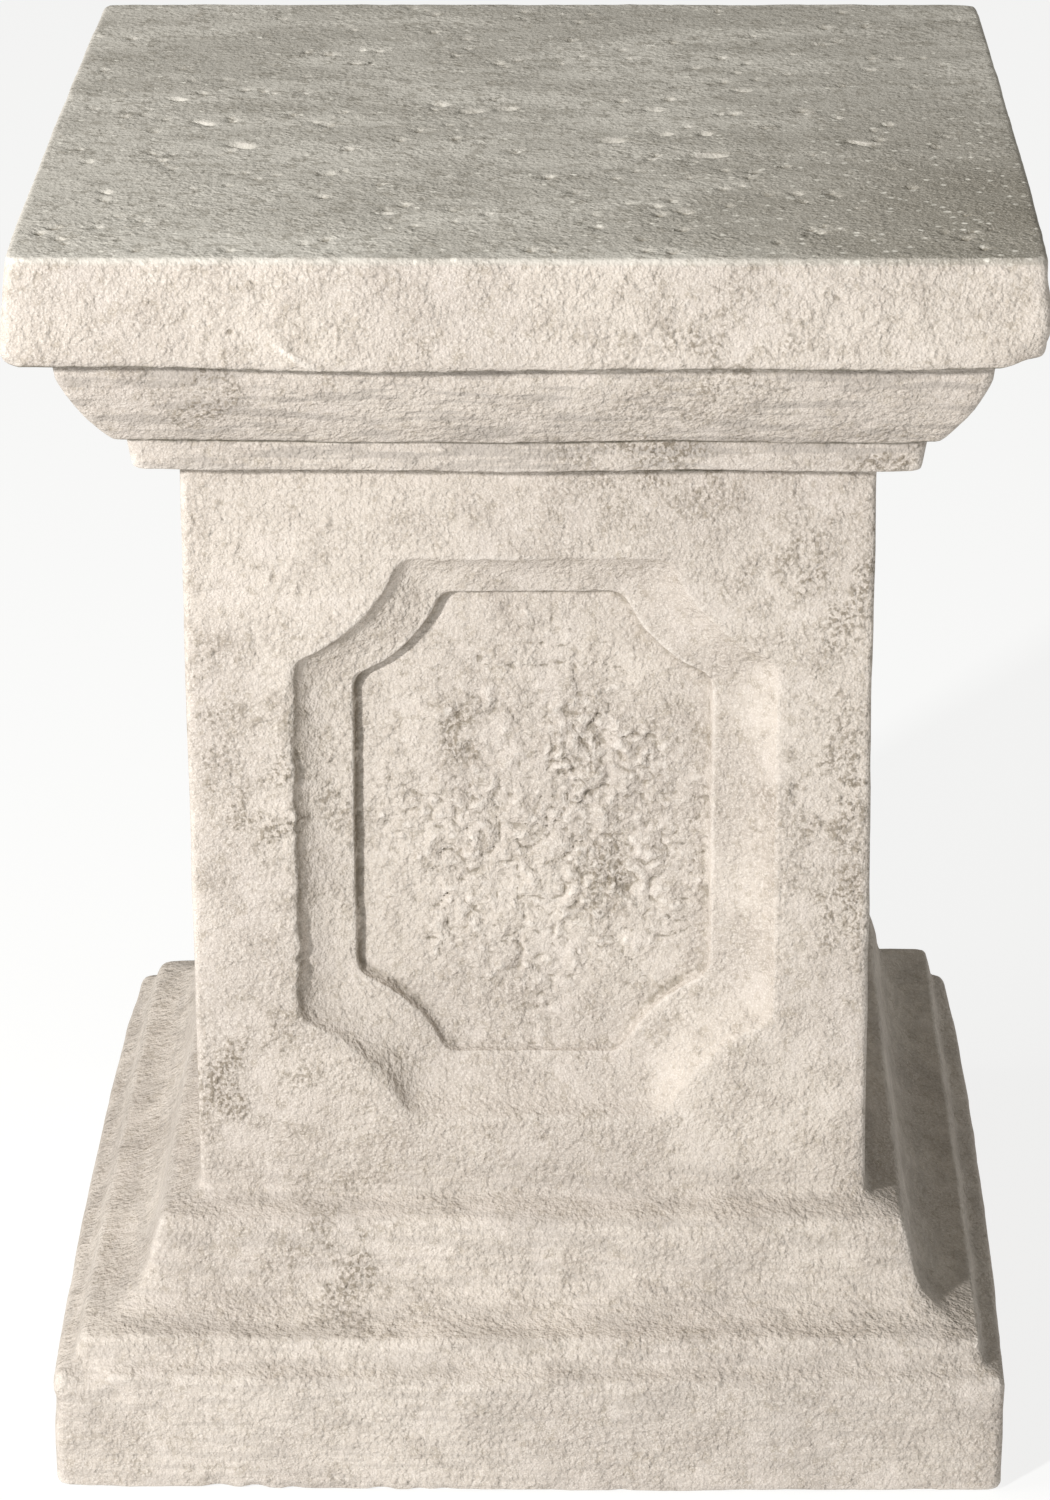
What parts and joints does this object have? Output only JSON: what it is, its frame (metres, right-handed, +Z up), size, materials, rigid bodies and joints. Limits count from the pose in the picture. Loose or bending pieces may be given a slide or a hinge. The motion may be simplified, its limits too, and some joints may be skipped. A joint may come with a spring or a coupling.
{
  "type": "cast stone statue pedestal",
  "caption": "Square cast stone pedestal for a garden statue, with a moulded foot, a shaft with an indented sunk panel in each side, and a moulded overhanging cap.",
  "frame": {"origin": "centre of the underside, on the ground", "axes": "+Z up through the middle of the shaft, -Y out of the pictured face, +X to that face's right"},
  "size_m": [0.31, 0.31, 0.42],
  "materials": {
    "cast_stone": "dry matt cast stone with a sandy, pitted and slightly stained face"
  },
  "bodies": {
    "root": {"pedestal": "cast_stone"}
  },
  "joints": []
}
